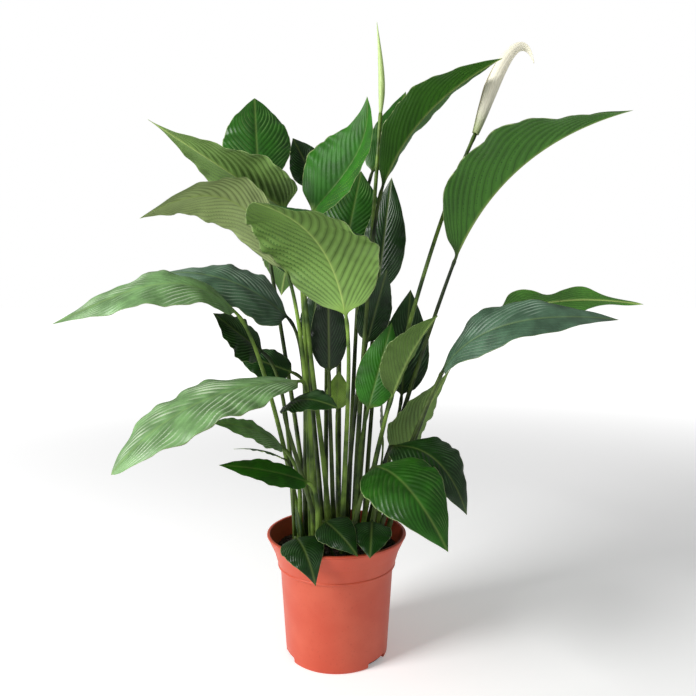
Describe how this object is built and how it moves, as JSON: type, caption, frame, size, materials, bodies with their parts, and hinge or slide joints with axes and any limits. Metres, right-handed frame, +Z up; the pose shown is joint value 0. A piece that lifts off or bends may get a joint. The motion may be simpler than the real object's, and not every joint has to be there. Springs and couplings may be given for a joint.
{
  "type": "potted peace lily",
  "caption": "Peace lily with long-stalked glossy pleated leaves, a green bud and a rolled cream flower, in a round terracotta-coloured plastic nursery pot.",
  "frame": {"origin": "centre of the pot's underside, on the surface that it stands on", "axes": "+Z up; -Y is the plant's front, with the flower and the tall right-hand leaves towards +X"},
  "size_m": [0.659, 0.4462, 0.771],
  "materials": {
    "pot_plastic": "satin terracotta-coloured moulded plastic",
    "potting_soil": "dark crumbly peat and bark mix",
    "leaf_tissue": "glossy green leaf, paler beneath",
    "flower_tissue": "smooth cream petal and pale green bud"
  },
  "bodies": {
    "root": {"pot": "pot_plastic", "soil": "potting_soil", "leaf_crown_back_left": "leaf_tissue", "leaf_crown_left": "leaf_tissue", "leaf_upper_left": "leaf_tissue", "leaf_great_centre": "leaf_tissue", "leaf_crown_bright": "leaf_tissue", "leaf_crown_tall": "leaf_tissue", "leaf_upper_right": "leaf_tissue", "leaf_far_right_back": "leaf_tissue", "leaf_far_right": "leaf_tissue", "leaf_far_left": "leaf_tissue", "leaf_mid_left_grey": "leaf_tissue", "leaf_low_left_great": "leaf_tissue", "leaf_centre_hooked": "leaf_tissue", "leaf_low_left_striped": "leaf_tissue", "leaf_low_left_narrow": "leaf_tissue", "leaf_low_left_bright": "leaf_tissue", "leaf_rim_left": "leaf_tissue", "leaf_rim_middle": "leaf_tissue", "leaf_rim_right": "leaf_tissue", "leaf_low_right_great": "leaf_tissue", "leaf_low_right_back": "leaf_tissue", "leaf_inner_right_grey": "leaf_tissue", "leaf_inner_right_upright": "leaf_tissue", "leaf_inner_right_light": "leaf_tissue", "leaf_inner_right_green": "leaf_tissue", "leaf_inner_centre_black": "leaf_tissue", "leaf_inner_centre_left": "leaf_tissue", "leaf_inner_centre_right": "leaf_tissue", "leaf_back_upright": "leaf_tissue", "leaf_back_centre": "leaf_tissue", "leaf_rear_left": "leaf_tissue", "leaf_rear_right": "leaf_tissue", "leaf_rear_high": "leaf_tissue", "leaf_back_left_small": "leaf_tissue", "leaf_mid_left_folded": "leaf_tissue", "leaf_mid_left_dark": "leaf_tissue", "leaf_inner_right_young": "leaf_tissue", "leaf_inner_small": "leaf_tissue", "shoot_left": "leaf_tissue", "leaf_crown_back_right": "leaf_tissue", "flower_stalk": "leaf_tissue", "spathe": "flower_tissue", "spadix": "flower_tissue", "bud_stalk": "leaf_tissue", "bud": "flower_tissue"}
  },
  "joints": []
}
